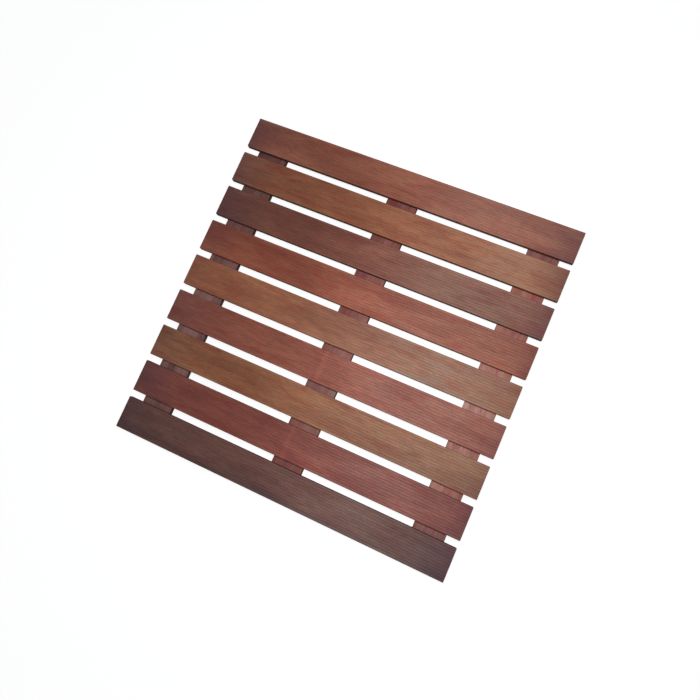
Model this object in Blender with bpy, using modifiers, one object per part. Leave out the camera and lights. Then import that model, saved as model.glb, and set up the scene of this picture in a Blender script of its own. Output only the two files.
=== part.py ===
# Slatted bath mat: reeded hardwood slats, screwed from below to three cross battens on rubber feet.
# Metres, +Z up, +X along the slats. The origin is on the floor under the middle of the mat, and
# slat_1 is the one furthest along +Y.
import math

import bmesh
import bpy
from mathutils import Matrix, Vector

MAT_LENGTH = 0.600            # the slats' own length
CLEARANCE = 0.0003            # left between faces that touch on the real mat

SLAT_COUNT = 9
SLAT_WIDTH = 0.056
SLAT_GAP = 0.012              # drain gap between neighbouring slats
SLAT_THICKNESS = 0.010
SLAT_TOP_RADIUS = 0.0015      # rounded upper arris
SLAT_LOWER_CHAMFER = 0.0006   # eased lower arris
GROOVE_PITCH = 0.00466
GROOVE_WIDTH = 0.0014
GROOVE_DEPTH = 0.0005
EDGE_RIB = 0.0028             # least land between a slat's side and its first groove

BATTEN_WIDTH = 0.054
BATTEN_THICKNESS = 0.012
BATTEN_OVERHANG = 0.021       # from the slats' ends to the outer battens
BATTEN_SETBACK = 0.004        # from the outer slats' sides to the battens' ends
BATTEN_ARRIS = 0.001

SCREW_SHANK_RADIUS = 0.00175
SCREW_HEAD_RADIUS = 0.0035
SCREW_HEAD_RIM = 0.0003       # straight edge of the countersunk head
SCREW_HEAD_SINK = 0.0005      # head face above the batten's underside
SCREW_POINT = 0.0025          # length of the tapered tip
SCREW_BITE = 0.0062           # depth that the screw reaches into the slat
DRIVE_SPAN = 0.0040           # cross recess, tip to tip
DRIVE_ARM = 0.0009
DRIVE_DEPTH = 0.0014

FOOT_RADIUS = 0.008
FOOT_HEIGHT = 0.005
FOOT_PROUD = 0.002            # how far a foot stands below the batten
FOOT_CHAMFER = 0.0006
FOOT_GAPS = (1, 3, 6, 8)      # the drain gaps that have feet under them, counted from slat_1

CUTTER_MARGIN = 0.001         # how far a cutter runs past the face that it opens
TURN_STEPS = 12
FOOT_STEPS = 16
WELD_DISTANCE = 1e-7
FLAT_ANGLE = 1e-3             # radians, faces closer to one plane than this become one face

# Worked out from the sizes above
SLAT_STEP = SLAT_WIDTH + SLAT_GAP
MAT_WIDTH = SLAT_COUNT * SLAT_WIDTH + (SLAT_COUNT - 1) * SLAT_GAP
BATTEN_LENGTH = MAT_WIDTH - 2 * BATTEN_SETBACK
BATTEN_BASE = FOOT_PROUD
SLAT_BASE = BATTEN_BASE + BATTEN_THICKNESS + CLEARANCE
SCREW_BASE = BATTEN_BASE + SCREW_HEAD_SINK
SCREW_LENGTH = SLAT_BASE + SCREW_BITE - SCREW_BASE
OUTER_BATTEN_X = MAT_LENGTH / 2 - BATTEN_OVERHANG - BATTEN_WIDTH / 2
BATTEN_PLACES = {"left": -OUTER_BATTEN_X, "middle": 0.0, "right": OUTER_BATTEN_X}

# Linear base colours of the oiled timber, one for each slat from slat_1 on
SLAT_COLOURS = (
    (0.196, 0.085, 0.062),
    (0.262, 0.125, 0.076),
    (0.150, 0.072, 0.062),
    (0.222, 0.090, 0.058),
    (0.232, 0.112, 0.072),
    (0.206, 0.080, 0.058),
    (0.220, 0.100, 0.060),
    (0.168, 0.066, 0.054),
    (0.106, 0.058, 0.050),
)
BATTEN_COLOURS = {
    "left": (0.095, 0.046, 0.042),
    "middle": (0.140, 0.046, 0.050),
    "right": (0.220, 0.100, 0.085),
}
STEEL_COLOUR = (0.560, 0.565, 0.570)
RUBBER_COLOUR = (0.022, 0.022, 0.024)


def clear_scene():
    for leftover in list(bpy.data.objects):
        bpy.data.objects.remove(leftover, do_unlink=True)


def new_collection(name):
    collection = bpy.data.collections.new(name)
    bpy.context.scene.collection.children.link(collection)
    return collection


def new_material(name, colour, roughness, metallic=0.0):
    material = bpy.data.materials.new(name)
    material.use_nodes = True
    shader = material.node_tree.nodes["Principled BSDF"]
    shader.inputs["Base Color"].default_value = (*colour, 1.0)
    shader.inputs["Roughness"].default_value = roughness
    shader.inputs["Metallic"].default_value = metallic
    return material


def add_object(name, mesh, collection, material=None, place=(0, 0, 0)):
    item = bpy.data.objects.new(name, mesh)
    item.location = place
    collection.objects.link(item)
    if material:
        item.data.materials.append(material)
    return item


def baked_mesh(source):
    # The source object as its modifiers and transform leave it, with flat areas as single faces.
    # The object itself is removed.
    bpy.context.view_layer.update()
    evaluated = source.evaluated_get(bpy.context.evaluated_depsgraph_get())
    mesh = bpy.data.meshes.new_from_object(evaluated)
    mesh.transform(source.matrix_world)
    bpy.data.objects.remove(source, do_unlink=True)
    shell = bmesh.new()
    shell.from_mesh(mesh)
    bmesh.ops.remove_doubles(shell, verts=shell.verts, dist=WELD_DISTANCE)
    bmesh.ops.dissolve_limit(
        shell, angle_limit=FLAT_ANGLE, verts=shell.verts, edges=shell.edges
    )
    bmesh.ops.recalc_face_normals(shell, faces=shell.faces)
    shell.to_mesh(mesh)
    shell.free()
    return mesh


def turned_mesh(name, profile, steps):
    # Turns (radius, height) points, listed from top to bottom, about +Z.
    mesh = bpy.data.meshes.new(name)
    points = [(radius, 0.0, height) for radius, height in profile]
    mesh.from_pydata(points, [(k, k + 1) for k in range(len(points) - 1)], [])
    blank = add_object(name, mesh, bpy.context.scene.collection)
    turn = blank.modifiers.new("Turn", "SCREW")
    turn.steps = steps
    turn.render_steps = steps
    turn.use_merge_vertices = True
    turn.merge_threshold = 1e-5
    return baked_mesh(blank)


def extruded_mesh(name, outline, depth, rotation=(0, 0, 0)):
    # Extrudes a closed flat outline by half the depth to each side of its plane.
    curve = bpy.data.curves.new(name, "CURVE")
    curve.dimensions = "2D"
    curve.fill_mode = "BOTH"
    curve.extrude = depth / 2
    spline = curve.splines.new("POLY")
    spline.points.add(len(outline) - 1)
    for point, (across, up) in zip(spline.points, outline):
        point.co = (across, up, 0.0, 1.0)
    spline.use_cyclic_u = True
    blank = add_object(name, curve, bpy.context.scene.collection)
    blank.rotation_euler = rotation
    return baked_mesh(blank)


def repeated_mesh(name, unit, places):
    # One mesh that holds a copy of the unit at each place.
    shell = bmesh.new()
    for place in places:
        before = len(shell.verts)
        shell.from_mesh(unit)
        shell.verts.ensure_lookup_table()
        bmesh.ops.translate(shell, verts=shell.verts[before:], vec=Vector(place))
    mesh = bpy.data.meshes.new(name)
    shell.to_mesh(mesh)
    shell.free()
    return mesh


def add_cutter(name, mesh, collection):
    cutter = add_object(name, mesh, collection)
    cutter.hide_render = True
    cutter.display_type = "WIRE"
    return cutter


def cut(item, name, cutter):
    boolean = item.modifiers.new(name, "BOOLEAN")
    boolean.operation = "DIFFERENCE"
    boolean.solver = "EXACT"
    boolean.object = cutter


def arc(centre, radius, start, sweep, segments):
    return [
        (
            centre[0] + radius * math.cos(start + sweep * k / segments),
            centre[1] + radius * math.sin(start + sweep * k / segments),
        )
        for k in range(segments + 1)
    ]


def slat_y(number):
    return (SLAT_COUNT + 1 - 2 * number) / 2 * SLAT_STEP


def crossings():
    # The screws' names and places, one where each slat crosses each batten.
    return {
        f"screw_{side}_{number}": (x, slat_y(number), SCREW_BASE)
        for side, x in BATTEN_PLACES.items()
        for number in range(1, SLAT_COUNT + 1)
    }


def foot_places():
    # Feet sit under drain gaps, clear of the screws.
    return {
        f"foot_{side}_{order}": (x, slat_y(gap) - SLAT_STEP / 2, 0.0)
        for side, x in BATTEN_PLACES.items()
        for order, gap in enumerate(FOOT_GAPS, start=1)
    }


def slat_outline():
    # Cross-section of a slat, anticlockwise from the lower left: a flat underside, rounded upper
    # arrises, and shallow round grooves between flat ribs.
    half = SLAT_WIDTH / 2
    radius = SLAT_TOP_RADIUS
    points = [
        (-half, SLAT_LOWER_CHAMFER),
        (-half + SLAT_LOWER_CHAMFER, 0.0),
        (half - SLAT_LOWER_CHAMFER, 0.0),
        (half, SLAT_LOWER_CHAMFER),
    ]
    points += arc((half - radius, SLAT_THICKNESS - radius), radius, 0.0, math.pi / 2, 3)

    half_groove = GROOVE_WIDTH / 2
    bend = 2 * math.atan(GROOVE_DEPTH / half_groove)
    groove_radius = half_groove / math.sin(bend)
    pitches = math.floor((SLAT_WIDTH - 2 * EDGE_RIB - GROOVE_WIDTH) / GROOVE_PITCH)
    for k in range(pitches + 1):
        centre = (
            (pitches / 2 - k) * GROOVE_PITCH,
            SLAT_THICKNESS - GROOVE_DEPTH + groove_radius,
        )
        points += arc(centre, groove_radius, -math.pi / 2 + bend, -2 * bend, 4)

    points += arc((-half + radius, SLAT_THICKNESS - radius), radius, math.pi / 2, math.pi / 2, 3)
    return points


def add_slats(parts, bores):
    along_x = (math.pi / 2, 0.0, math.pi / 2)
    section = extruded_mesh("slat", slat_outline(), MAT_LENGTH, along_x)
    for number in range(1, SLAT_COUNT + 1):
        colour = SLAT_COLOURS[(number - 1) % len(SLAT_COLOURS)]
        wood = new_material(f"slat_{number}_wood", colour, 0.5)
        place = (0.0, slat_y(number), SLAT_BASE)
        slat = add_object(f"slat_{number}", section.copy(), parts, wood, place)
        cut(slat, "Pilot holes", bores)
    bpy.data.meshes.remove(section)


def add_battens(parts, bores, seats):
    for side, x in BATTEN_PLACES.items():
        shell = bmesh.new()
        size = Matrix.Diagonal((BATTEN_WIDTH, BATTEN_LENGTH, BATTEN_THICKNESS, 1.0))
        bmesh.ops.create_cube(shell, size=1.0, matrix=size)
        mesh = bpy.data.meshes.new(f"batten_{side}")
        shell.to_mesh(mesh)
        shell.free()
        wood = new_material(f"batten_{side}_wood", BATTEN_COLOURS[side], 0.6)
        place = (x, 0.0, BATTEN_BASE + BATTEN_THICKNESS / 2)
        batten = add_object(f"batten_{side}", mesh, parts, wood, place)
        arris = batten.modifiers.new("Eased edges", "BEVEL")
        arris.width = BATTEN_ARRIS
        arris.segments = 1
        cut(batten, "Countersunk holes", bores)
        cut(batten, "Foot seats", seats)


def screw_mesh():
    # Countersunk wood screw, head face at height 0 and tip upwards.
    head_top = SCREW_HEAD_RIM + SCREW_HEAD_RADIUS - SCREW_SHANK_RADIUS
    profile = [
        (0.0, SCREW_LENGTH),
        (SCREW_SHANK_RADIUS, SCREW_LENGTH - SCREW_POINT),
        (SCREW_SHANK_RADIUS, head_top),
        (SCREW_HEAD_RADIUS, SCREW_HEAD_RIM),
        (SCREW_HEAD_RADIUS, 0.0),
        (0.0, 0.0),
    ]
    return turned_mesh("screw", profile, TURN_STEPS)


def bore_mesh():
    # What a screw needs cut for it: counterbore, countersink, clearance hole and pilot hole.
    bore = SCREW_SHANK_RADIUS + CLEARANCE
    mouth = SCREW_HEAD_RADIUS + CLEARANCE
    cone_foot = SCREW_HEAD_RIM + CLEARANCE * (math.sqrt(2) - 1)
    cone_top = cone_foot + mouth - bore
    profile = [
        (0.0, SCREW_LENGTH + CLEARANCE),
        (bore, SCREW_LENGTH + CLEARANCE),
        (bore, cone_top),
        (mouth, cone_foot),
        (mouth, -SCREW_HEAD_SINK - CUTTER_MARGIN),
        (0.0, -SCREW_HEAD_SINK - CUTTER_MARGIN),
    ]
    return turned_mesh("bore", profile, TURN_STEPS)


def drive_mesh():
    # Cross recess for the driver.
    far = DRIVE_SPAN / 2
    near = DRIVE_ARM / 2
    quarter = [(far, -near), (far, near), (near, near)]
    outline = []
    for turns in range(4):
        turn = Matrix.Rotation(turns * math.pi / 2, 2)
        outline += [tuple(turn @ Vector(point)) for point in quarter]
    return extruded_mesh("drive", outline, 2 * DRIVE_DEPTH)


def add_screws(parts, drives):
    steel = new_material("screw_steel", STEEL_COLOUR, 0.35, 1.0)
    turned = screw_mesh()
    for name, place in crossings().items():
        screw = add_object(name, turned.copy(), parts, steel, place)
        cut(screw, "Cross recess", drives)
    bpy.data.meshes.remove(turned)


def add_feet(parts):
    rubber = new_material("foot_rubber", RUBBER_COLOUR, 0.8)
    profile = [
        (0.0, FOOT_HEIGHT),
        (FOOT_RADIUS, FOOT_HEIGHT),
        (FOOT_RADIUS, FOOT_CHAMFER),
        (FOOT_RADIUS - FOOT_CHAMFER, 0.0),
        (0.0, 0.0),
    ]
    turned = turned_mesh("foot", profile, FOOT_STEPS)
    for name, place in foot_places().items():
        add_object(name, turned.copy(), parts, rubber, place)
    bpy.data.meshes.remove(turned)


def seat_mesh():
    # Blind seat that holds a foot, opened past the batten's underside.
    profile = [
        (0.0, FOOT_HEIGHT + CLEARANCE),
        (FOOT_RADIUS + CLEARANCE, FOOT_HEIGHT + CLEARANCE),
        (FOOT_RADIUS + CLEARANCE, BATTEN_BASE - CUTTER_MARGIN),
        (0.0, BATTEN_BASE - CUTTER_MARGIN),
    ]
    return turned_mesh("seat", profile, FOOT_STEPS)


def main():
    clear_scene()
    parts = new_collection("bath_mat")
    cutters = new_collection("cutters")
    screw_places = list(crossings().values())
    bores = add_cutter("bores", repeated_mesh("bores", bore_mesh(), screw_places), cutters)
    drives = add_cutter("drives", repeated_mesh("drives", drive_mesh(), screw_places), cutters)
    seats = add_cutter(
        "seats", repeated_mesh("seats", seat_mesh(), foot_places().values()), cutters
    )
    add_slats(parts, bores)
    add_battens(parts, bores, seats)
    add_screws(parts, drives)
    add_feet(parts)


main()
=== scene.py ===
import math

import bmesh
import bpy
from mathutils import Matrix, Vector


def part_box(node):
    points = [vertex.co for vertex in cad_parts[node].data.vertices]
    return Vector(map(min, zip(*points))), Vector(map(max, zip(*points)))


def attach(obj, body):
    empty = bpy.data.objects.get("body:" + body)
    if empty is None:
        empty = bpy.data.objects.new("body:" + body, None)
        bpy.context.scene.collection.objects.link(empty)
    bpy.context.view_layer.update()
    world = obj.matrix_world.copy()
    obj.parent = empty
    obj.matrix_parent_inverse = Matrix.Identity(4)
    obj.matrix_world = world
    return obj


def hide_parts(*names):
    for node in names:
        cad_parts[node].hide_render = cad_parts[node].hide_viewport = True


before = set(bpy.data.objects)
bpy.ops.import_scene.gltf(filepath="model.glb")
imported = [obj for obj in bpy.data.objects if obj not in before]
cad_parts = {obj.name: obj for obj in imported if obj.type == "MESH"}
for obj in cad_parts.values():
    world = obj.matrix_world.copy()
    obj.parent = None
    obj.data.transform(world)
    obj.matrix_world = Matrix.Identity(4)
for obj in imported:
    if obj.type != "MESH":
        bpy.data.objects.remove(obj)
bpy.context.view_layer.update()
overcut = 0.001               # how far a hole's cutter stands out of the wood


def sortedNodes(start):
    return sorted(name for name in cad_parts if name.startswith(start))


def wire(tree, kind, inputs=None, **settings):
    # adds a node, sets it up, and fills each input with a value or with another node's output
    node = tree.nodes.new(kind)
    for key, value in settings.items():
        setattr(node, key, value)
    for key, value in (inputs or {}).items():
        if isinstance(value, bpy.types.NodeSocket):
            tree.links.new(value, node.inputs[key])
        else:
            node.inputs[key].default_value = value
    return node


def calc(tree, operation, a, b=0.0, c=0.0, clamp=False):
    node = wire(tree, "ShaderNodeMath", {0: a, 1: b, 2: c}, operation=operation, use_clamp=clamp)
    return node.outputs[0]


def ramp(tree, value, low, high, start=0.0, end=1.0):
    # smooth step of a value from one range to another
    settings = {"Value": value, "From Min": low, "From Max": high, "To Min": start, "To Max": end}
    node = wire(tree, "ShaderNodeMapRange", settings, interpolation_type="SMOOTHSTEP")
    return node.outputs["Result"]


def blendColour(tree, share, first, second, mode="MIX"):
    node = wire(tree, "ShaderNodeMix", data_type="RGBA", blend_type=mode)
    for socket, value in ((0, share), (6, first), (7, second)):
        if isinstance(value, bpy.types.NodeSocket):
            tree.links.new(value, node.inputs[socket])
        else:
            node.inputs[socket].default_value = value
    return node.outputs[2]


def noiseOn(tree, vector, stretch, detail=3.0, roughness=0.5, distortion=0.0):
    scaled = wire(tree, "ShaderNodeVectorMath", {0: vector, 1: stretch}, operation="MULTIPLY")
    settings = {
        "Vector": scaled.outputs[0],
        "Scale": 1.0,
        "Detail": detail,
        "Roughness": roughness,
        "Distortion": distortion,
    }
    return wire(tree, "ShaderNodeTexNoise", settings).outputs["Fac"]


def newGroup(name, inputs, outputs):
    # a shader group: inputs are (name, socket kind, default), outputs are (name, socket kind)
    tree = bpy.data.node_groups.new(name, "ShaderNodeTree")
    for label, kind, default in inputs:
        socket = tree.interface.new_socket(name=label, in_out="INPUT", socket_type=kind)
        if default is not None:
            socket.default_value = default
    for label, kind in outputs:
        tree.interface.new_socket(name=label, in_out="OUTPUT", socket_type=kind)
    return tree, tree.nodes.new("NodeGroupInput"), tree.nodes.new("NodeGroupOutput")


def newMaterial(name):
    material = bpy.data.materials.new(name)
    material.use_nodes = True
    tree = material.node_tree
    shader = tree.nodes["Principled BSDF"]
    return material, tree, shader


def useGroup(tree, group, inputs):
    node = wire(tree, "ShaderNodeGroup", node_tree=group)
    for key, value in inputs.items():
        if isinstance(value, bpy.types.NodeSocket):
            tree.links.new(value, node.inputs[key])
        else:
            node.inputs[key].default_value = value
    return node


def rgba(colour):
    return (*colour, 1.0)


def finishMesh(shell, name, sharpDegrees=32):
    mesh = bpy.data.meshes.new(name)
    bmesh.ops.recalc_face_normals(shell, faces=shell.faces)
    shell.to_mesh(mesh)
    shell.free()
    mesh.polygons.foreach_set("use_smooth", [True] * len(mesh.polygons))
    mesh.set_sharp_from_angle(angle=math.radians(sharpDegrees))
    return mesh


def cutMesh(mesh, cutterMesh, sharpDegrees=32):
    # the mesh with the cutter taken out of it
    body = bpy.data.objects.new("body", mesh)
    cutter = bpy.data.objects.new("cutter", cutterMesh)
    for item in (body, cutter):
        bpy.context.scene.collection.objects.link(item)
    boolean = body.modifiers.new("Cut", "BOOLEAN")
    boolean.operation = "DIFFERENCE"
    boolean.solver = "EXACT"
    boolean.object = cutter
    bpy.context.view_layer.update()
    cutBody = body.evaluated_get(bpy.context.evaluated_depsgraph_get())
    result = bpy.data.meshes.new_from_object(cutBody)
    for item in (body, cutter):
        bpy.data.objects.remove(item, do_unlink=True)
    result.polygons.foreach_set("use_smooth", [True] * len(result.polygons))
    result.set_sharp_from_angle(angle=math.radians(sharpDegrees))
    return result


def turnedShell(shell, profile, steps, place=(0, 0, 0)):
    # adds a closed turned solid, from (radius, height) points down its outline
    rings = []
    for radius, height in profile:
        if radius == 0:
            rings.append([shell.verts.new(Vector(place) + Vector((0, 0, height)))])
            continue
        ring = []
        for k in range(steps):
            angle = 2 * math.pi * k / steps
            spot = Vector((radius * math.cos(angle), radius * math.sin(angle), height))
            ring.append(shell.verts.new(Vector(place) + spot))
        rings.append(ring)
    for upper, lower in zip(rings, rings[1:]):
        for k in range(steps):
            following = (k + 1) % steps
            corners = [upper[k % len(upper)], lower[k % len(lower)]]
            corners += [lower[following % len(lower)], upper[following % len(upper)]]
            unique = list(dict.fromkeys(corners))
            if len(unique) > 2:
                shell.faces.new(unique)


def addPiece(name, mesh, material, node, place=(0, 0, 0)):
    piece = bpy.data.objects.new(name, mesh)
    piece.location = place
    bpy.context.scene.collection.objects.link(piece)
    piece.data.materials.clear()
    piece.data.materials.append(material)
    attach(piece, "root")
    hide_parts(node)
    return piece


# what the timber's figure is made of: each pair is features per metre along and across the grain
grainScale = {
    "drift": (9.0, 30.0),
    "figure": (15.0, 90.0),
    "fibre": (55.0, 420.0),
    "fleck": (120.0, 520.0),
    "fine": (95.0, 1500.0),
    "pore": (120.0, 1150.0),
}


def grainNoise(tree, spot, layer, detail, roughness, distortion=0.0):
    along, across = grainScale[layer]
    return noiseOn(tree, spot, (along, across, across), detail, roughness, distortion)


def buildGrainGroup():
    # oiled hardwood: the vector's X runs along the grain
    tree, given, made = newGroup(
        "hardwoodGrain",
        [
            ("Vector", "NodeSocketVector", None),
            ("Seed", "NodeSocketFloat", 0.0),
            ("Ground", "NodeSocketColor", (0.2, 0.09, 0.06, 1)),
            ("Pale", "NodeSocketColor", (0.3, 0.15, 0.1, 1)),
            ("Dark", "NodeSocketColor", (0.08, 0.035, 0.03, 1)),
            ("Figure", "NodeSocketFloat", 0.5),
            ("Pale Share", "NodeSocketFloat", 0.3),
            ("Pores", "NodeSocketFloat", 0.6),
            ("Fibres", "NodeSocketFloat", 1.0),
        ],
        [
            ("Color", "NodeSocketColor"),
            ("Roughness", "NodeSocketFloat"),
            ("Height", "NodeSocketFloat"),
        ],
    )
    seed = wire(
        tree,
        "ShaderNodeVectorMath",
        {0: (1.7, 4.3, 2.9), "Scale": given.outputs["Seed"]},
        operation="SCALE",
    )
    spot = wire(
        tree,
        "ShaderNodeVectorMath",
        {0: given.outputs["Vector"], 1: seed.outputs[0]},
        operation="ADD",
    ).outputs[0]
    drift = grainNoise(tree, spot, "drift", 2.0, 0.5, 0.4)
    figure = grainNoise(tree, spot, "figure", 4.0, 0.55, 0.8)
    fibre = grainNoise(tree, spot, "fibre", 3.0, 0.65, 0.3)
    fleck = grainNoise(tree, spot, "fleck", 2.0, 0.6)
    fine = grainNoise(tree, spot, "fine", 2.0, 0.7)
    pore = grainNoise(tree, spot, "pore", 1.0, 0.4)

    # broad drifts of the paler heartwood, then darker growth streaks
    driftMask = ramp(tree, drift, 0.40, 0.62, 0.0, 0.8)
    paleMask = calc(tree, "ADD", driftMask, ramp(tree, figure, 0.55, 0.32, 0.0, 0.5))
    paleMask = calc(tree, "MULTIPLY", paleMask, given.outputs["Pale Share"], clamp=True)
    colour = blendColour(tree, paleMask, given.outputs["Ground"], given.outputs["Pale"])
    darkMask = calc(tree, "MULTIPLY", ramp(tree, figure, 0.48, 0.70), given.outputs["Figure"])
    colour = blendColour(tree, darkMask, colour, given.outputs["Dark"])

    # redder growth streaks and flecks, then fibres, fine fibres and the short dark dashes of open pores
    redder = blendColour(tree, 1.0, colour, (1.17, 0.89, 0.86, 1), "MULTIPLY")
    redFigure = ramp(tree, figure, 0.52, 0.64, 0.0, 0.8)
    redMask = calc(tree, "MAXIMUM", ramp(tree, fleck, 0.50, 0.66), redFigure)
    colour = blendColour(tree, redMask, colour, redder)
    tanned = blendColour(tree, 1.0, colour, (0.98, 1.10, 1.0, 1), "MULTIPLY")
    colour = blendColour(tree, ramp(tree, fleck, 0.46, 0.32, 0.0, 0.9), colour, tanned)
    fineValue = ramp(tree, fine, 0.2, 0.8, 0.85, 1.15)
    fibreValue = ramp(tree, fibre, 0.25, 0.75, -0.18, 0.18)
    fibreValue = calc(tree, "MULTIPLY", fibreValue, given.outputs["Fibres"])
    value = calc(tree, "MULTIPLY", calc(tree, "ADD", fibreValue, 1.0), fineValue)
    value = calc(tree, "MULTIPLY", value, ramp(tree, drift, 0.30, 0.68, 0.94, 1.06))
    colour = wire(
        tree, "ShaderNodeVectorMath", {0: colour, "Scale": value}, operation="SCALE"
    ).outputs[0]
    poreMask = calc(tree, "MULTIPLY", ramp(tree, pore, 0.61, 0.74), given.outputs["Pores"])
    colour = blendColour(tree, poreMask, colour, given.outputs["Dark"])

    roughness = calc(tree, "MULTIPLY_ADD", poreMask, 0.15, ramp(tree, figure, 0.3, 0.7, 0.46, 0.56))
    relief = calc(tree, "MULTIPLY_ADD", fibre, 0.6, calc(tree, "MULTIPLY", fine, 0.6))
    height = calc(tree, "SUBTRACT", relief, calc(tree, "MULTIPLY", poreMask, 0.6))
    for label, source in (("Color", colour), ("Roughness", roughness), ("Height", height)):
        tree.links.new(source, made.inputs[label])
    return tree


def buildMarksGroup():
    # marks of one particular board: a coloured streak down it, a paler patch that is partly painted
    # light, and a pale mark across
    tree, given, made = newGroup(
        "boardMarks",
        [
            ("Color", "NodeSocketColor", (0.2, 0.09, 0.06, 1)),
            ("Vector", "NodeSocketVector", None),
            ("Middle", "NodeSocketFloat", 0.0),
            ("Streak Color", "NodeSocketColor", (0.15, 0.05, 0.03, 1)),
            ("Streak Place", "NodeSocketFloat", 0.0),
            ("Streak Width", "NodeSocketFloat", 0.01),
            ("Streak Amount", "NodeSocketFloat", 0.0),
            ("Fade And Light Color", "NodeSocketColor", (0.25, 0.18, 0.14, 1)),
            ("Fade And Light Place", "NodeSocketFloat", 0.15),
            ("Fade And Light Reach", "NodeSocketFloat", 0.15),
            ("Fade And Light Amount", "NodeSocketFloat", 0.0),
            ("Warm Light Tone", "NodeSocketColor", (1.0, 1.0, 1.0, 1)),
            ("Warm Light Place", "NodeSocketFloat", 0.0),
            ("Warm Light Reach", "NodeSocketFloat", 0.2),
            ("Cross Place", "NodeSocketFloat", 0.0),
            ("Cross Amount", "NodeSocketFloat", 0.0),
            ("End Shade Color", "NodeSocketColor", (0.1, 0.05, 0.06, 1)),
            ("End Shade Start", "NodeSocketFloat", 0.23),
            ("End Shade Lean", "NodeSocketFloat", 0.0),
            ("End Shade Amount", "NodeSocketFloat", 0.0),
        ],
        [("Color", "NodeSocketColor")],
    )
    parts = wire(tree, "ShaderNodeSeparateXYZ", {0: given.outputs["Vector"]})
    along = parts.outputs["X"]
    across = calc(tree, "SUBTRACT", parts.outputs["Y"], given.outputs["Middle"])
    waver = noiseOn(tree, given.outputs["Vector"], (5.0, 14.0, 0.0), 2.0, 0.5)
    broken = noiseOn(tree, given.outputs["Vector"], (16.0, 150.0, 150.0), 4.0, 0.6, 0.5)
    patchy = noiseOn(tree, given.outputs["Vector"], (11.0, 55.0, 55.0), 4.0, 0.65, 0.8)

    shift = ramp(tree, waver, 0.3, 0.7, -0.006, 0.006)
    off = calc(tree, "SUBTRACT", calc(tree, "ADD", across, shift), given.outputs["Streak Place"])
    reach = calc(tree, "DIVIDE", calc(tree, "ABSOLUTE", off), given.outputs["Streak Width"])
    streak = calc(tree, "MULTIPLY", ramp(tree, reach, 1.0, 0.1), ramp(tree, broken, 0.34, 0.62))
    streak = calc(tree, "MULTIPLY", streak, given.outputs["Streak Amount"])
    colour = blendColour(tree, streak, given.outputs["Color"], given.outputs["Streak Color"])

    # a paler, greyer patch around one place along the board: partly the board's own fading, partly
    # painted sheen and light where the lamps fall
    distance = calc(tree, "ABSOLUTE", calc(tree, "SUBTRACT", along, given.outputs["Fade And Light Place"]))
    fade = ramp(tree, calc(tree, "DIVIDE", distance, given.outputs["Fade And Light Reach"]), 1.0, 0.2)
    fade = calc(tree, "MULTIPLY", fade, ramp(tree, patchy, 0.30, 0.66))
    fade = calc(tree, "MULTIPLY", fade, given.outputs["Fade And Light Amount"])
    colour = blendColour(tree, fade, colour, given.outputs["Fade And Light Color"])

    # painted light tone: redder and richer around one place along the board, standing in for warmer light
    # there
    warmLightOff = calc(tree, "ABSOLUTE", calc(tree, "SUBTRACT", along, given.outputs["Warm Light Place"]))
    warmLit = ramp(tree, calc(tree, "DIVIDE", warmLightOff, given.outputs["Warm Light Reach"]), 1.0, 0.1)
    warmLit = calc(tree, "MULTIPLY", warmLit, ramp(tree, patchy, 0.25, 0.55, 0.75, 1.0))
    richer = blendColour(tree, 1.0, colour, given.outputs["Warm Light Tone"], "MULTIPLY")
    colour = blendColour(tree, warmLit, colour, richer)

    crossOff = calc(tree, "ABSOLUTE", calc(tree, "SUBTRACT", along, given.outputs["Cross Place"]))
    crossMark = ramp(tree, crossOff, 0.007, 0.001)
    cross = calc(tree, "MULTIPLY", crossMark, given.outputs["Cross Amount"])
    cross = calc(tree, "MULTIPLY", cross, ramp(tree, patchy, 0.25, 0.55, 0.5, 1.0))
    paler = blendColour(tree, 1.0, colour, (1.5, 1.5, 1.45, 1), "MULTIPLY")
    colour = blendColour(tree, cross, colour, paler)

    # painted shade: darker and purplish towards both ends, where the light falls off
    leaning = calc(tree, "ABSOLUTE", calc(tree, "SUBTRACT", along, given.outputs["End Shade Lean"]))
    endwards = calc(tree, "SUBTRACT", leaning, given.outputs["End Shade Start"])
    stain = ramp(tree, endwards, 0.0, 0.075)
    stain = calc(tree, "MULTIPLY", stain, ramp(tree, patchy, 0.2, 0.6, 0.5, 1.0))
    stain = calc(tree, "MULTIPLY", stain, given.outputs["End Shade Amount"])
    colour = blendColour(tree, stain, colour, given.outputs["End Shade Color"])
    tree.links.new(colour, made.inputs["Color"])
    return tree


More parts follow.
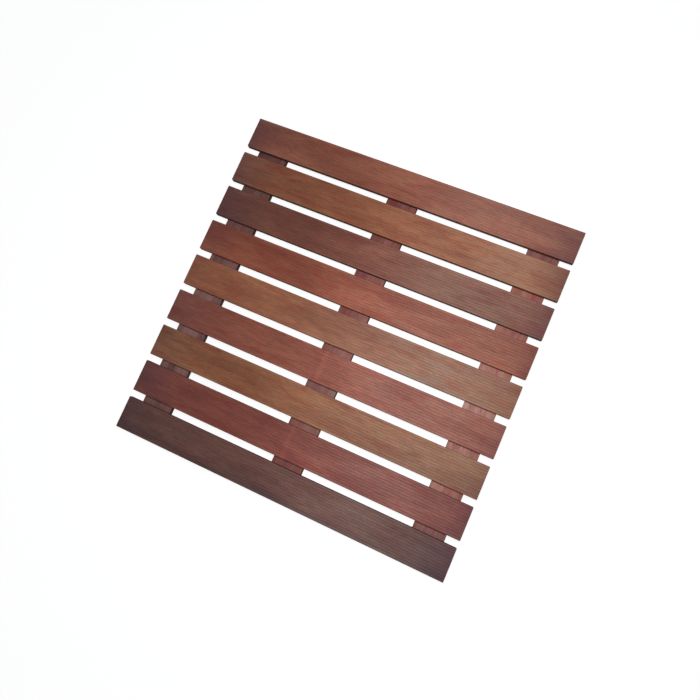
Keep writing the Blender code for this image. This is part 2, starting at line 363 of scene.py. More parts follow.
def buildWearGroup():
    # what sawing and use do: rubbed arrises, grooves darker with dirt and painted shade, dull sawn sides
    # darker with painted shade, and thirsty end grain
    tree, given, made = newGroup(
        "timberWear",
        [
            ("Color", "NodeSocketColor", (0.2, 0.09, 0.06, 1)),
            ("Vector", "NodeSocketVector", None),
            ("Roughness", "NodeSocketFloat", 0.5),
            ("Rubbed", "NodeSocketFloat", 0.0),
            ("Groove", "NodeSocketFloat", 0.0),
            ("Side", "NodeSocketFloat", 0.0),
            ("End", "NodeSocketFloat", 0.0),
            ("Wear", "NodeSocketFloat", 0.5),
            ("Dirt And Shade", "NodeSocketFloat", 0.5),
            ("Side Shade", "NodeSocketFloat", 0.5),
        ],
        [("Color", "NodeSocketColor"), ("Roughness", "NodeSocketFloat")],
    )
    patch = noiseOn(tree, given.outputs["Vector"], (14.0, 60.0, 60.0), 3.0, 0.6)
    rubbed = calc(tree, "MULTIPLY", given.outputs["Rubbed"], ramp(tree, patch, 0.35, 0.65, 0.4, 1.0))
    rubbed = calc(tree, "MULTIPLY", rubbed, given.outputs["Wear"])
    lighter = blendColour(tree, 1.0, given.outputs["Color"], (1.35, 1.30, 1.25, 1), "MULTIPLY")
    colour = blendColour(tree, rubbed, given.outputs["Color"], lighter)

    # the grooves darkened: partly dirt, partly painted shade in the recess
    dirtAndShade = calc(tree, "MULTIPLY", given.outputs["Groove"], given.outputs["Dirt And Shade"])
    darker = blendColour(tree, 1.0, colour, (0.45, 0.40, 0.40, 1), "MULTIPLY")
    colour = blendColour(tree, dirtAndShade, colour, darker)

    # painted shade: the long sides are darkened by which way they face
    paintedSideShade = calc(tree, "MULTIPLY", given.outputs["Side"], given.outputs["Side Shade"])
    stained = blendColour(tree, 1.0, colour, (0.40, 0.35, 0.38, 1), "MULTIPLY")
    colour = blendColour(tree, paintedSideShade, colour, stained)

    rings = noiseOn(tree, given.outputs["Vector"], (20.0, 260.0, 700.0), 3.0, 0.6, 0.5)
    vessels = noiseOn(tree, given.outputs["Vector"], (20.0, 1900.0, 1900.0), 2.0, 0.6)
    ringValue = ramp(tree, rings, 0.3, 0.7, 0.40, 0.66)
    ringValue = calc(tree, "MULTIPLY", ringValue, ramp(tree, vessels, 0.62, 0.70, 1.0, 0.6))
    endColour = wire(
        tree, "ShaderNodeVectorMath", {0: colour, "Scale": ringValue}, operation="SCALE"
    ).outputs[0]
    colour = blendColour(tree, given.outputs["End"], colour, endColour)

    roughness = calc(tree, "MULTIPLY_ADD", dirtAndShade, 0.15, given.outputs["Roughness"])
    roughness = calc(tree, "MULTIPLY_ADD", given.outputs["Side"], 0.2, roughness)
    roughness = calc(tree, "MULTIPLY_ADD", given.outputs["End"], 0.25, roughness)
    tree.links.new(colour, made.inputs["Color"])
    tree.links.new(roughness, made.inputs["Roughness"])
    return tree


grainGroup = buildGrainGroup()
marksGroup = buildMarksGroup()
wearGroup = buildWearGroup()
print("shader groups ready")


def timberMaterial(name, timber, alongY=False):
    material, tree, shader = newMaterial(name)
    place = wire(tree, "ShaderNodeTexCoord")
    vector = place.outputs["Object"]
    normal = wire(tree, "ShaderNodeSeparateXYZ", {0: place.outputs["Normal"]})
    endFacing = normal.outputs["Y" if alongY else "X"]
    sideFacing = normal.outputs["X" if alongY else "Y"]
    if alongY:
        parts = wire(tree, "ShaderNodeSeparateXYZ", {0: vector})
        order = {"X": parts.outputs["Y"], "Y": parts.outputs["X"], "Z": parts.outputs["Z"]}
        vector = wire(tree, "ShaderNodeCombineXYZ", order).outputs[0]
    grainInputs = {
        "Vector": vector,
        "Seed": timber["seed"],
        "Ground": rgba(timber["ground"]),
        "Pale": rgba(timber["pale"]),
        "Dark": rgba(timber["dark"]),
        "Figure": timber["figure"],
        "Pale Share": timber["paleShare"],
        "Pores": timber["pores"],
        "Fibres": timber["fibres"],
    }
    grain = useGroup(tree, grainGroup, grainInputs)
    markInputs = {
        "Color": grain.outputs["Color"],
        "Vector": vector,
        "Middle": timber["middle"],
        "Streak Color": rgba(timber["streak"]),
        "Streak Place": timber["streakPlace"],
        "Streak Width": timber["streakWidth"],
        "Streak Amount": timber["streakAmount"],
        "Fade And Light Color": rgba(timber["fade"]),
        "Fade And Light Place": timber["fadeAndLightPlace"],
        "Fade And Light Reach": timber["fadeAndLightReach"],
        "Fade And Light Amount": timber["fadeAndLightAmount"],
        "Warm Light Tone": rgba(timber["warmLightTone"]),
        "Warm Light Place": timber["warmLightPlace"],
        "Warm Light Reach": timber["warmLightReach"],
        "Cross Place": timber["crossPlace"],
        "Cross Amount": timber["crossAmount"],
        "End Shade Color": rgba(timber["stain"]),
        "End Shade Start": timber["endShadeStart"],
        "End Shade Lean": timber["endShadeLean"],
        "End Shade Amount": timber["endShadeAmount"],
    }
    marked = useGroup(tree, marksGroup, markInputs)
    rubbed = wire(tree, "ShaderNodeAttribute", attribute_name="rubbed")
    groove = wire(tree, "ShaderNodeAttribute", attribute_name="groove")
    wearInputs = {
        "Color": marked.outputs["Color"],
        "Vector": vector,
        "Roughness": grain.outputs["Roughness"],
        "Rubbed": rubbed.outputs["Fac"],
        "Groove": groove.outputs["Fac"],
        # faces turned sideways get painted shade
        "Side": ramp(tree, calc(tree, "ABSOLUTE", sideFacing), 0.75, 0.98),
        "End": ramp(tree, calc(tree, "ABSOLUTE", endFacing), 0.6, 0.95),
        "Wear": timber["wear"],
        "Dirt And Shade": timber["dirtAndShade"],
        "Side Shade": timber["sideShade"],
    }
    worn = useGroup(tree, wearGroup, wearInputs)
    bump = wire(
        tree,
        "ShaderNodeBump",
        {"Height": grain.outputs["Height"], "Strength": timber["relief"], "Distance": 0.0005},
    )
    tree.links.new(worn.outputs["Color"], shader.inputs["Base Color"])
    tree.links.new(worn.outputs["Roughness"], shader.inputs["Roughness"])
    tree.links.new(bump.outputs["Normal"], shader.inputs["Normal"])
    shader.inputs["IOR"].default_value = 1.48
    shader.inputs["Specular IOR Level"].default_value = timber["gloss"]
    return material


# what all the slats share; a slat's own entry below goes over it
slatSpec = {
    "grooves": 11,
    "groovePitch": 0.00466,
    "grooveWidth": 0.0013,
    "grooveDepth": 0.00032,
    "grooveSteps": 6,
    "landCrown": 0.00002,     # how far the middle of a land stands above its edges
    "arrisRadius": 0.0015,
    "lowerArris": 0.0006,
    "arrisSteps": 5,
    "endRadius": 0.0009,
    "endSteps": 4,
    "stations": 31,
    "wander": 0.00010,        # how far a slat is from dead straight
    "pilotRadius": 0.00205,
    "pilotDepth": 0.0065,
    "pilotSteps": 20,
    "paleTint": (1.30, 1.50, 1.40),   # pale grain against the slat's ground colour
    "darkTint": (0.60, 0.58, 0.70),   # and dark grain
    "figure": 0.35,
    "paleShare": 0.5,
    "pores": 0.45,
    "fibres": 0.8,
    "relief": 0.6,
    "gloss": 0.25,
    "wear": 0.3,
    "dirtAndShade": 0.05,
    "sideShade": 0.6,
    "streak": (0.15, 0.05, 0.03),
    "streakPlace": 0.0,
    "streakWidth": 0.008,
    "streakAmount": 0.2,
    # paler patch: partly the slat's own fading, partly painted sheen where the lamps fall
    "fade": (0.26, 0.17, 0.13),
    "fadeAndLightPlace": 0.16,
    "fadeAndLightReach": 0.16,
    "fadeAndLightAmount": 0.15,
    # painted light tone: redder and richer around one place along each slat
    "warmLightTone": (1.10, 0.98, 0.86),
    "warmLightPlace": -0.10,
    "warmLightReach": 0.26,
    "crossPlace": -0.01,
    "crossAmount": 0.0,
    # painted shade towards the slat ends, where the light falls off
    "stain": (0.085, 0.038, 0.052),
    "endShadeStart": 0.23,
    "endShadeLean": 0.012,       # the painted end shade reaches further in at the left end
    "endShadeAmount": 0.45,
}
slatOwn = {
    "slat_1": {
        "ground": (0.23, 0.085, 0.06),
        "streak": (0.28, 0.10, 0.055),
        "streakPlace": -0.014,
        "streakAmount": 0.4,
        "endShadeLean": -0.004,
    },
    "slat_2": {
        "ground": (0.23, 0.09, 0.05),
        "streak": (0.19, 0.05, 0.03),
        "streakPlace": -0.013,
        "streakWidth": 0.009,
        "streakAmount": 0.7,
        "fade": (0.34, 0.19, 0.12),
        "fadeAndLightPlace": 0.22,
        "fadeAndLightReach": 0.10,
        "fadeAndLightAmount": 0.55,
    },
    "slat_3": {
        "ground": (0.16, 0.06, 0.045),
        "fade": (0.25, 0.15, 0.10),
        "fadeAndLightAmount": 0.45,
    },
    "slat_4": {
        "ground": (0.22, 0.07, 0.045),
        "streak": (0.16, 0.04, 0.03),
        "streakPlace": 0.016,
        "streakAmount": 0.4,
        "endShadeAmount": 0.2,
        "warmLightTone": (1.20, 1.06, 0.94),
        "warmLightPlace": -0.14,
        "warmLightReach": 0.28,
    },
    "slat_5": {
        "ground": (0.22, 0.09, 0.055),
        "fade": (0.25, 0.16, 0.12),
        "fadeAndLightPlace": 0.18,
        "fadeAndLightAmount": 0.7,
        "endShadeAmount": 0.05,
        "warmLightTone": (1.42, 1.26, 1.06),
        "warmLightPlace": -0.21,
        "warmLightReach": 0.26,
    },
    "slat_6": {
        "ground": (0.225, 0.075, 0.055),
        "crossPlace": -0.012,
        "crossAmount": 0.4,
        "endShadeAmount": 0.2,
    },
    "slat_7": {
        "ground": (0.21, 0.09, 0.05),
        "fade": (0.24, 0.14, 0.10),
        "fadeAndLightPlace": 0.24,
        "fadeAndLightAmount": 0.4,
        "endShadeAmount": 0.2,
        "warmLightTone": (1.20, 1.06, 0.93),
        "warmLightPlace": -0.14,
    },
    "slat_8": {
        "ground": (0.18, 0.055, 0.045),
        "crossPlace": -0.012,
        "crossAmount": 0.35,
    },
    "slat_9": {
        "ground": (0.105, 0.05, 0.045),
        "streak": (0.04, 0.03, 0.035),
        "streakPlace": -0.024,
        "streakWidth": 0.014,
        "streakAmount": 0.6,
        "warmLightTone": (1.26, 1.15, 1.04),
        "warmLightPlace": -0.10,
        "warmLightReach": 0.32,
        "endShadeLean": -0.016,
    },
}


def grooveDrop(across):
    # depth of the reeding at this distance from the slat's centreline, and the distance in half widths
    reach = (slatSpec["grooves"] - 1) / 2
    nearest = round(across / slatSpec["groovePitch"] + reach)
    nearest = min(max(nearest, 0), slatSpec["grooves"] - 1)
    off = abs(across - (nearest - reach) * slatSpec["groovePitch"]) / (slatSpec["grooveWidth"] / 2)
    if off >= 1:
        return 0.0, off
    return slatSpec["grooveDepth"] * (0.5 + 0.5 * math.cos(math.pi * off)), off


def slatSection(width, thickness):
    # closed section as (across, up, rubbed, groove), from the lower left and anticlockwise
    half = width / 2
    lower = slatSpec["lowerArris"]
    radius = slatSpec["arrisRadius"]
    crown = slatSpec["landCrown"]
    pitch = slatSpec["groovePitch"]
    steps = slatSpec["arrisSteps"]
    points = []
    for k in range(3):
        angle = math.pi / 4 * k
        points.append((-half + lower - lower * math.cos(angle), lower - lower * math.sin(angle), 0.3, 0))
    for k in range(3):
        angle = math.pi / 4 * k
        points.append((half - lower + lower * math.sin(angle), lower - lower * math.cos(angle), 0.3, 0))
    for k in range(steps + 1):
        angle = math.pi / 2 * k / steps
        across = half - radius + radius * math.cos(angle)
        up = thickness - radius + radius * math.sin(angle)
        points.append((across, up, math.sin(2 * angle) ** 2, 0))

    reach = (slatSpec["grooves"] - 1) / 2
    for g in range(slatSpec["grooves"]):
        centre = (reach - g) * pitch
        for k in range(slatSpec["grooveSteps"] + 1):
            across = centre + slatSpec["grooveWidth"] * (0.5 - k / slatSpec["grooveSteps"])
            drop, off = grooveDrop(across)
            shoulder = max(0.0, 1 - abs(off - 0.9) / 0.35)
            points.append((across, thickness - drop, 0.7 * shoulder, drop / slatSpec["grooveDepth"]))
        if g < slatSpec["grooves"] - 1:
            land = (pitch - slatSpec["grooveWidth"]) / 4
            points.append((centre - pitch / 2 + land, thickness + crown * 0.7, 0.2, 0))
            points.append((centre - pitch / 2, thickness + crown, 0.1, 0))
            points.append((centre - pitch / 2 - land, thickness + crown * 0.7, 0.2, 0))

    for k in range(steps + 1):
        angle = math.pi / 2 * (1 + k / steps)
        across = -half + radius + radius * math.cos(angle)
        up = thickness - radius + radius * math.sin(angle)
        points.append((across, up, math.sin(2 * angle) ** 2, 0))
    return points


def slatRows(start, finish):
    # (x, inset) along a slat, close together where its ends are eased
    radius = slatSpec["endRadius"]
    steps = slatSpec["endSteps"]
    rows = []
    for k in range(steps + 1):
        angle = math.pi / 2 * (1 - k / steps)
        rows.append((start + radius - radius * math.sin(angle), radius - radius * math.cos(angle)))
    farEnd = [(start + finish - x, inset) for x, inset in reversed(rows)]
    inner = finish - start - 2 * radius
    for k in range(1, slatSpec["stations"]):
        rows.append((start + radius + inner * k / slatSpec["stations"], 0.0))
    return rows + farEnd


def slatMesh(name, seed):
    low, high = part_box(name)
    section = slatSection(high.y - low.y, high.z - low.z)
    middle = (low.y + high.y) / 2
    centreUp = (high.z - low.z) / 2
    wander = slatSpec["wander"]
    shell = bmesh.new()
    rubbedLayer = shell.verts.layers.float.new("rubbed")
    grooveLayer = shell.verts.layers.float.new("groove")
    rings = []
    for x, inset in slatRows(low.x, high.x):
        sway = wander * math.sin(x * 9 + seed * 2.1)
        lift = wander * math.sin(x * 13 + seed * 4.7)
        twist = wander * 9 * math.sin(x * 6 + seed * 1.3)
        endWear = 0.8 if 0 < inset < slatSpec["endRadius"] else 0.0
        ring = []
        for across, up, rubbed, groove in section:
            y = middle + across * (1 - inset / (high.y - low.y) * 2) + sway
            z = low.z + centreUp + (up - centreUp) * (1 - inset / centreUp) + lift + across * twist
            vert = shell.verts.new((x, y, z))
            vert[rubbedLayer] = max(rubbed, endWear)
            vert[grooveLayer] = groove
            ring.append(vert)
        rings.append(ring)
    count = len(section)
    for near, far in zip(rings, rings[1:]):
        for k in range(count):
            following = (k + 1) % count
            shell.faces.new((near[k], near[following], far[following], far[k]))
    shell.faces.new(rings[0])
    shell.faces.new(rings[-1][::-1])
    blank = finishMesh(shell, name)

    drills = bmesh.new()
    radius = slatSpec["pilotRadius"]
    depth = slatSpec["pilotDepth"]
    profile = [(0, depth + radius / 2), (radius, depth), (radius, -overcut), (0, -overcut)]
    for batten in sortedNodes("batten_"):
        battenLow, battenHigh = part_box(batten)
        centre = ((battenLow.x + battenHigh.x) / 2, middle, low.z)
        turnedShell(drills, profile, slatSpec["pilotSteps"], centre)
    return cutMesh(blank, finishMesh(drills, "drills"))


for number, node in enumerate(sortedNodes("slat_"), start=1):
    low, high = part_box(node)
    middle = (low.y + high.y) / 2
    timber = {**slatSpec, **slatOwn[node], "seed": number * 1.37, "middle": middle}
    timber["pale"] = [a * b for a, b in zip(timber["ground"], timber["paleTint"])]
    timber["dark"] = [a * b for a, b in zip(timber["ground"], timber["darkTint"])]
    material = timberMaterial(f"{node}Timber", timber)
    addPiece(f"reeded{node.capitalize()}", slatMesh(node, number), material, node)
print("slats ready")


# the battens' holes follow the screws and the feet, so these two come first
screwSpec = {
    "coreRadius": 0.00145,
    "threadDepth": 0.00030,
    "threadPitch": 0.0014,
    "threadRows": 6,          # rings of points in one turn of the thread
    "ridgeShare": 0.3,        # half the thread's width, as a share of the pitch
    "plainShank": 0.004,      # unthreaded length under the head
    "point": 0.0026,
    "rim": 0.0003,
    "edgeBreak": 0.00008,
    "neck": 0.0002,
    "neckFlare": 0.00022,
    "clearance": 0.0003,
    "steps": 24,
    "recessSpan": 0.0040,
    "recessArm": 0.0009,
    "recessDepth": 0.0014,
    "recessTaper": 0.75,
    "bright": (0.62, 0.615, 0.60),
    "waterStain": (0.40, 0.385, 0.36),
    # painted shade in the cross recess
    "recessShade": (0.10, 0.095, 0.09),
    "turningRings": 9000.0,   # per metre of radius
    "stainScale": 420.0,
}
footSpec = {
    "edgeRadius": 0.0008,
    "edgeSteps": 4,
    "topBreak": 0.0003,
    "clearance": 0.0003,
    "ringGrooves": (0.0028, 0.0052),
    "ringWidth": 0.0009,
    "ringDepth": 0.0005,
    "steps": 48,
    "rubber": (0.018, 0.018, 0.019),
    "bloom": (0.055, 0.053, 0.05),
    "bloomScale": 180.0,
    "speckleScale": 2600.0,
}

# what the battens share; a batten's own entry below goes over it
battenSpec = {
    "arris": 0.0010,
    "arrisSegments": 3,
    "holeSteps": 32,
    "coneLift": 0.00012,      # how far past a screw's rim its countersink starts
    "figure": 0.5,
    "paleShare": 0.4,
    "pores": 0.4,
    "fibres": 0.6,
    "relief": 0.5,
    "gloss": 0.25,
    "wear": 0.3,
    "dirtAndShade": 0.3,
    "sideShade": 0.3,
    "streak": (0.12, 0.04, 0.035),
    "streakPlace": -0.010,
    "streakWidth": 0.009,
    "streakAmount": 0.5,
    # paler patch: partly the batten's own fading, partly painted light where the lamps fall
    "fade": (0.26, 0.17, 0.13),
    "fadeAndLightPlace": -0.10,
    "fadeAndLightReach": 0.20,
    "fadeAndLightAmount": 0.3,
    "warmLightTone": (1.0, 1.0, 1.0),
    "warmLightPlace": 0.0,
    "warmLightReach": 0.2,
    "crossPlace": 0.0,
    "crossAmount": 0.0,
    # painted shade towards the batten ends, where the light falls off
    "stain": (0.085, 0.040, 0.048),
    "endShadeStart": 0.23,
    "endShadeLean": 0.0,
    "endShadeAmount": 0.3,
}
battenOwn = {
    "batten_left": {
        "ground": (0.165, 0.072, 0.065),
        "pale": (0.245, 0.125, 0.108),
        "dark": (0.085, 0.038, 0.040),
        "fade": (0.38, 0.190, 0.170),
        "fadeAndLightPlace": -0.13,
        "fadeAndLightReach": 0.30,
        "fadeAndLightAmount": 0.85,
    },
    "batten_middle": {
        "ground": (0.190, 0.060, 0.050),
        "pale": (0.275, 0.125, 0.092),
        "dark": (0.075, 0.026, 0.030),
        "streak": (0.17, 0.024, 0.034),
        "streakAmount": 0.65,
        "fade": (0.20, 0.115, 0.105),
        "fadeAndLightPlace": -0.102,
        "fadeAndLightReach": 0.07,
        "fadeAndLightAmount": 0.8,
    },
    "batten_right": {
        "ground": (0.265, 0.095, 0.074),
        "pale": (0.410, 0.210, 0.162),
        "dark": (0.120, 0.042, 0.038),
        "streak": (0.27, 0.040, 0.038),
        "streakPlace": 0.004,
        "streakAmount": 0.75,
        "fade": (0.46, 0.260, 0.205),
        "fadeAndLightPlace": -0.034,
        "fadeAndLightReach": 0.09,
        "fadeAndLightAmount": 0.7,
        "endShadeStart": 0.17,
        "endShadeAmount": 0.5,
    },
}


def battenMesh(name):
    low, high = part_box(name)
    size = high - low
    shell = bmesh.new()
    placed = Matrix.Translation((low + high) / 2) @ Matrix.Diagonal((*size, 1.0))
    bmesh.ops.create_cube(shell, size=1.0, matrix=placed)
    bmesh.ops.bevel(
        shell,
        geom=shell.edges[:],
        offset=battenSpec["arris"],
        segments=battenSpec["arrisSegments"],
        profile=0.5,
        affect="EDGES",
    )
    blank = finishMesh(shell, name)
    drills = bmesh.new()
    side = name.split("_")[1]
    steps = battenSpec["holeSteps"]
    for screw in sortedNodes(f"screw_{side}_"):
        screwLow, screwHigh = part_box(screw)
        centre = (screwLow + screwHigh) / 2
        head = (screwHigh.x - screwLow.x) / 2 + screwSpec["clearance"]
        bore = screwSpec["coreRadius"] + screwSpec["threadDepth"] + screwSpec["clearance"]
        cone = screwLow.z + screwSpec["rim"] + battenSpec["coneLift"]
        profile = [
            (0, high.z + 2 * overcut),
            (bore, high.z + 2 * overcut),
            (bore, cone + head - bore),
            (head, cone),
            (head, low.z - overcut),
            (0, low.z - overcut),
        ]
        turnedShell(drills, profile, steps, (centre.x, centre.y, 0))
    for foot in sortedNodes(f"foot_{side}_"):
        footLow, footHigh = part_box(foot)
        centre = (footLow + footHigh) / 2
        seat = (footHigh.x - footLow.x) / 2 + footSpec["clearance"]
        top = footHigh.z + footSpec["clearance"]
        profile = [(0, top), (seat, top), (seat, low.z - overcut), (0, low.z - overcut)]
        turnedShell(drills, profile, steps, (centre.x, centre.y, 0))
    return cutMesh(blank, finishMesh(drills, "drills"))


for number, node in enumerate(sortedNodes("batten_"), start=1):
    low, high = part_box(node)
    middle = (low.x + high.x) / 2
    timber = {**battenSpec, **battenOwn[node], "seed": 21 + number * 2.9, "middle": middle}
    material = timberMaterial(f"{node}Timber", timber, alongY=True)
    addPiece(f"planed{node.capitalize()}", battenMesh(node), material, node)
print("battens ready")


def screwMesh():
    low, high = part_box(sortedNodes("screw_")[0])
    length = high.z - low.z
    headRadius = (high.x - low.x) / 2
    core = screwSpec["coreRadius"]
    crest = core + screwSpec["threadDepth"]
    headTop = screwSpec["rim"] + headRadius - crest
    shankTop = headTop + screwSpec["plainShank"]
    pitch = screwSpec["threadPitch"]
    steps = screwSpec["steps"]
    shell = bmesh.new()
    rings = []

    def addRing(height, radiusAt):
        ring = []
        for k in range(steps):
            angle = 2 * math.pi * k / steps
            radius = radiusAt(angle)
            ring.append(shell.verts.new((radius * math.cos(angle), radius * math.sin(angle), height)))
        rings.append(ring)

    edgeBreak = screwSpec["edgeBreak"]
    neck = screwSpec["neck"]
    addRing(0.0, lambda angle: headRadius - edgeBreak)
    addRing(edgeBreak, lambda angle: headRadius)
    addRing(screwSpec["rim"], lambda angle: headRadius)
    addRing(headTop - neck, lambda angle: crest + screwSpec["neckFlare"])
    addRing(headTop + neck, lambda angle: crest)
    addRing(shankTop, lambda angle: crest)
    threadStep = pitch / screwSpec["threadRows"]
    rows = int((length - shankTop) / threadStep)
    for row in range(1, rows):
        height = shankTop + row * threadStep
        fade = min(1.0, (length - height) / screwSpec["point"])

        def radiusAt(angle, height=height, fade=fade):
            phase = (height / pitch - angle / (2 * math.pi)) % 1.0
            ridge = max(0.0, 1 - abs(phase - 0.5) / screwSpec["ridgeShare"])
            return (core * fade + screwSpec["threadDepth"] * ridge * min(1.0, fade * 1.4)) or 0.0001

        addRing(height, radiusAt)
    tip = shell.verts.new((0, 0, length))
    for lower, upper in zip(rings, rings[1:]):
        for k in range(steps):
            following = (k + 1) % steps
            shell.faces.new((lower[k], lower[following], upper[following], upper[k]))
    for k in range(steps):
        shell.faces.new((rings[-1][k], rings[-1][(k + 1) % steps], tip))
    shell.faces.new(rings[0][::-1])
    blank = finishMesh(shell, "screw", 40)

    # cross recess, narrower at its floor
    span = screwSpec["recessSpan"] / 2
    arm = screwSpec["recessArm"] / 2
    cross = bmesh.new()
    levels = []
    for height, scale in ((-0.0005, 1.1), (screwSpec["recessDepth"], screwSpec["recessTaper"])):
        ring = []
        for turn in range(4):
            spin = Matrix.Rotation(turn * math.pi / 2, 3, "Z")
            for x, y in ((span, -arm), (span, arm), (arm, arm)):
                ring.append(cross.verts.new(spin @ Vector((x * scale, y * scale, height))))
        levels.append(ring)
    for k in range(12):
        following = (k + 1) % 12
        cross.faces.new((levels[0][k], levels[0][following], levels[1][following], levels[1][k]))
    cross.faces.new(levels[0][::-1])
    cross.faces.new(levels[1])
    return cutMesh(blank, finishMesh(cross, "cross"), 40)


def steelMaterial():
    # turned steel: fine rings on the head, water stains, and a cross recess darkened with painted shade
    material, tree, shader = newMaterial("screwSteel")
    place = wire(tree, "ShaderNodeTexCoord").outputs["Object"]
    parts = wire(tree, "ShaderNodeSeparateXYZ", {0: place})
    acrossX = calc(tree, "POWER", parts.outputs["X"], 2.0)
    acrossY = calc(tree, "POWER", parts.outputs["Y"], 2.0)
    radius = calc(tree, "SQRT", calc(tree, "ADD", acrossX, acrossY))
    turning = wire(
        tree,
        "ShaderNodeTexNoise",
        {"W": radius, "Scale": screwSpec["turningRings"], "Detail": 2.0},
        noise_dimensions="1D",
    ).outputs["Fac"]
    stain = noiseOn(tree, place, (screwSpec["stainScale"],) * 3, 3.0, 0.6)
    reach = screwSpec["recessSpan"] / 2
    recess = ramp(tree, parts.outputs["Z"], 0.0, screwSpec["recessDepth"] / 2)
    recess = calc(tree, "MULTIPLY", recess, ramp(tree, radius, reach * 1.1, reach))
    stained = ramp(tree, stain, 0.45, 0.75)
    colour = blendColour(tree, stained, rgba(screwSpec["bright"]), rgba(screwSpec["waterStain"]))
    # painted shade: the cross recess is darkened
    colour = blendColour(tree, recess, colour, rgba(screwSpec["recessShade"]))
    roughness = calc(tree, "MULTIPLY_ADD", turning, 0.18, ramp(tree, stain, 0.4, 0.8, 0.2, 0.42))
    roughness = calc(tree, "MULTIPLY_ADD", recess, 0.25, roughness)
    bump = wire(tree, "ShaderNodeBump", {"Height": turning, "Strength": 0.25, "Distance": 0.00004})
    tree.links.new(colour, shader.inputs["Base Color"])
    tree.links.new(roughness, shader.inputs["Roughness"])
    tree.links.new(bump.outputs["Normal"], shader.inputs["Normal"])
    shader.inputs["Metallic"].default_value = 1.0
    return material


steel = steelMaterial()
screw = screwMesh()
for node in sortedNodes("screw_"):
    low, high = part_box(node)
    place = ((low.x + high.x) / 2, (low.y + high.y) / 2, low.z)
    addPiece(f"{node}Threaded", screw, steel, node, place)
print("screws ready")


def footMesh():
    low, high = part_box(sortedNodes("foot_")[0])
    radius = (high.x - low.x) / 2
    height = high.z - low.z
    edge = footSpec["edgeRadius"]
    topBreak = footSpec["topBreak"]
    profile = [(0, height), (radius - topBreak, height), (radius, height - topBreak)]
    for k in range(footSpec["edgeSteps"] + 1):
        angle = math.pi / 2 * k / footSpec["edgeSteps"]
        profile.append((radius - edge + edge * math.cos(angle), edge - edge * math.sin(angle)))
    for ring in sorted(footSpec["ringGrooves"], reverse=True):
        half = footSpec["ringWidth"] / 2
        for off, rise in ((1, 0), (0.75, 0.6), (0, 1), (-0.75, 0.6), (-1, 0)):
            profile.append((ring + half * off, footSpec["ringDepth"] * rise))
    profile.append((0, 0))
    shell = bmesh.new()
    turnedShell(shell, profile, footSpec["steps"])
    return finishMesh(shell, "foot", 40)


def rubberMaterial():
    # moulded rubber: a fine speckle and a pale bloom
    material, tree, shader = newMaterial("footRubber")
    place = wire(tree, "ShaderNodeTexCoord").outputs["Object"]
    speckle = noiseOn(tree, place, (footSpec["speckleScale"],) * 3, 2.0, 0.6)
    bloom = noiseOn(tree, place, (footSpec["bloomScale"],) * 3, 4.0, 0.6)
    bloomed = ramp(tree, bloom, 0.4, 0.75)
    colour = blendColour(tree, bloomed, rgba(footSpec["rubber"]), rgba(footSpec["bloom"]))
    roughness = ramp(tree, speckle, 0.3, 0.7, 0.66, 0.86)
    bump = wire(tree, "ShaderNodeBump", {"Height": speckle, "Strength": 0.3, "Distance": 0.0001})
    tree.links.new(colour, shader.inputs["Base Color"])
    tree.links.new(roughness, shader.inputs["Roughness"])
    tree.links.new(bump.outputs["Normal"], shader.inputs["Normal"])
    return material


rubber = rubberMaterial()
foot = footMesh()
for node in sortedNodes("foot_"):
    low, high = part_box(node)
    place = ((low.x + high.x) / 2, (low.y + high.y) / 2, low.z)
    addPiece(f"{node}Rubber", foot, rubber, node, place)
print("feet ready")


studio = {
    "floorSize": 12.0,
    "floorHeight": -0.0002,
    "floorGlow": 0.915,       # the floor's own light as the camera sees it
    "floorShade": 0.16,       # what is left of its shading there
    "floorBounce": 0.6,       # how pale it is to everything but the camera
    "ambient": 0.37,
    "ambientTint": (0.90, 0.95, 1.0),
    "backdrop": 1.2,          # so that the tint still shows white beyond the floor
    "keyPlace": (0.10, 0.05, 1.10),
    "keyPower": 19.5,
    "keyRadius": 0.08,
    "keyCone": 110.0,         # degrees
    "bandPlace": (0.145, 0.0, 1.05),
    "bandPower": 19.5,
    "bandRadius": 0.05,
    "bandCone": 30.0,
    "bandStretch": 3.0,       # how much longer than wide the band of light is, across the slats
}
view = {
    "place": (0.2111, -0.1148, 1.0245),
    "turn": (8.988, 7.808, 23.810),      # degrees
    "lens": 31.73,
    "sensor": 36.0,
}


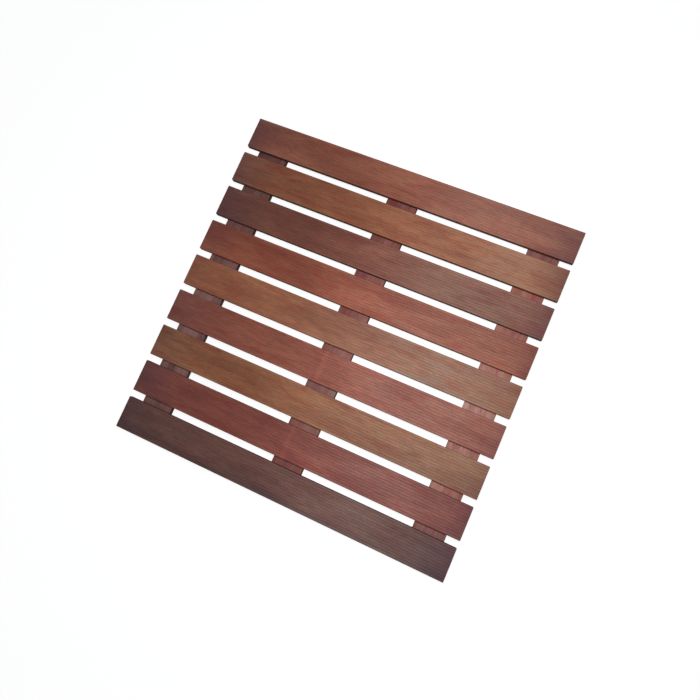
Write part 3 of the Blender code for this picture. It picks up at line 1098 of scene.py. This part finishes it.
def buildFloor():
    shell = bmesh.new()
    bmesh.ops.create_grid(shell, x_segments=1, y_segments=1, size=studio["floorSize"] / 2)
    floor = bpy.data.objects.new("floor", finishMesh(shell, "floor"))
    floor.location.z = studio["floorHeight"]
    bpy.context.scene.collection.objects.link(floor)
    material = bpy.data.materials.new("paleFloor")
    material.use_nodes = True
    tree = material.node_tree
    tree.nodes.clear()
    seen = wire(tree, "ShaderNodeEmission", {"Color": (1, 1, 1, 1), "Strength": studio["floorGlow"]})
    shade = studio["floorShade"]
    bounce = studio["floorBounce"]
    shaded = wire(tree, "ShaderNodeBsdfDiffuse", {"Color": (shade, shade, shade, 1)})
    matt = wire(tree, "ShaderNodeBsdfDiffuse", {"Color": (bounce, bounce, bounce, 1)})
    both = wire(tree, "ShaderNodeAddShader", {0: seen.outputs[0], 1: shaded.outputs[0]})
    path = wire(tree, "ShaderNodeLightPath")
    chosen = wire(
        tree,
        "ShaderNodeMixShader",
        {0: path.outputs["Is Camera Ray"], 1: matt.outputs[0], 2: both.outputs[0]},
    )
    wire(tree, "ShaderNodeOutputMaterial", {"Surface": chosen.outputs[0]})
    floor.data.materials.append(material)


def buildWorld():
    world = bpy.data.worlds.new("studio")
    bpy.context.scene.world = world
    world.use_nodes = True
    tree = world.node_tree
    tree.nodes.clear()
    path = wire(tree, "ShaderNodeLightPath")
    seen = path.outputs["Is Camera Ray"]
    strength = ramp(tree, seen, 0.0, 1.0, studio["ambient"], studio["backdrop"])
    sky = wire(tree, "ShaderNodeBackground", {"Color": rgba(studio["ambientTint"]), "Strength": strength})
    wire(tree, "ShaderNodeOutputWorld", {"Surface": sky.outputs[0]})


def addSpot(name, place, power, radius, cone, stretch=1.0):
    # a lamp that looks straight down, its pool of light stretched along Y
    lamp = bpy.data.lights.new(name, "SPOT")
    lamp.energy = power
    lamp.shadow_soft_size = radius
    lamp.spot_size = math.radians(cone)
    lamp.spot_blend = 1.0
    spot = bpy.data.objects.new(name, lamp)
    spot.location = place
    spot.scale = (1.0, stretch, 1.0)
    bpy.context.scene.collection.objects.link(spot)


def buildLight():
    addSpot("key", studio["keyPlace"], studio["keyPower"], studio["keyRadius"], studio["keyCone"])
    addSpot(
        "band",
        studio["bandPlace"],
        studio["bandPower"],
        studio["bandRadius"],
        studio["bandCone"],
        studio["bandStretch"],
    )


def buildCamera():
    lens = bpy.data.cameras.new("camera")
    lens.lens = view["lens"]
    lens.sensor_width = view["sensor"]
    lens.clip_start = 0.01
    camera = bpy.data.objects.new("camera", lens)
    camera.location = view["place"]
    camera.rotation_euler = [math.radians(angle) for angle in view["turn"]]
    bpy.context.scene.collection.objects.link(camera)
    bpy.context.scene.camera = camera


buildFloor()
buildWorld()
buildLight()
buildCamera()
bpy.context.scene.view_settings.view_transform = "Standard"
print("studio ready")
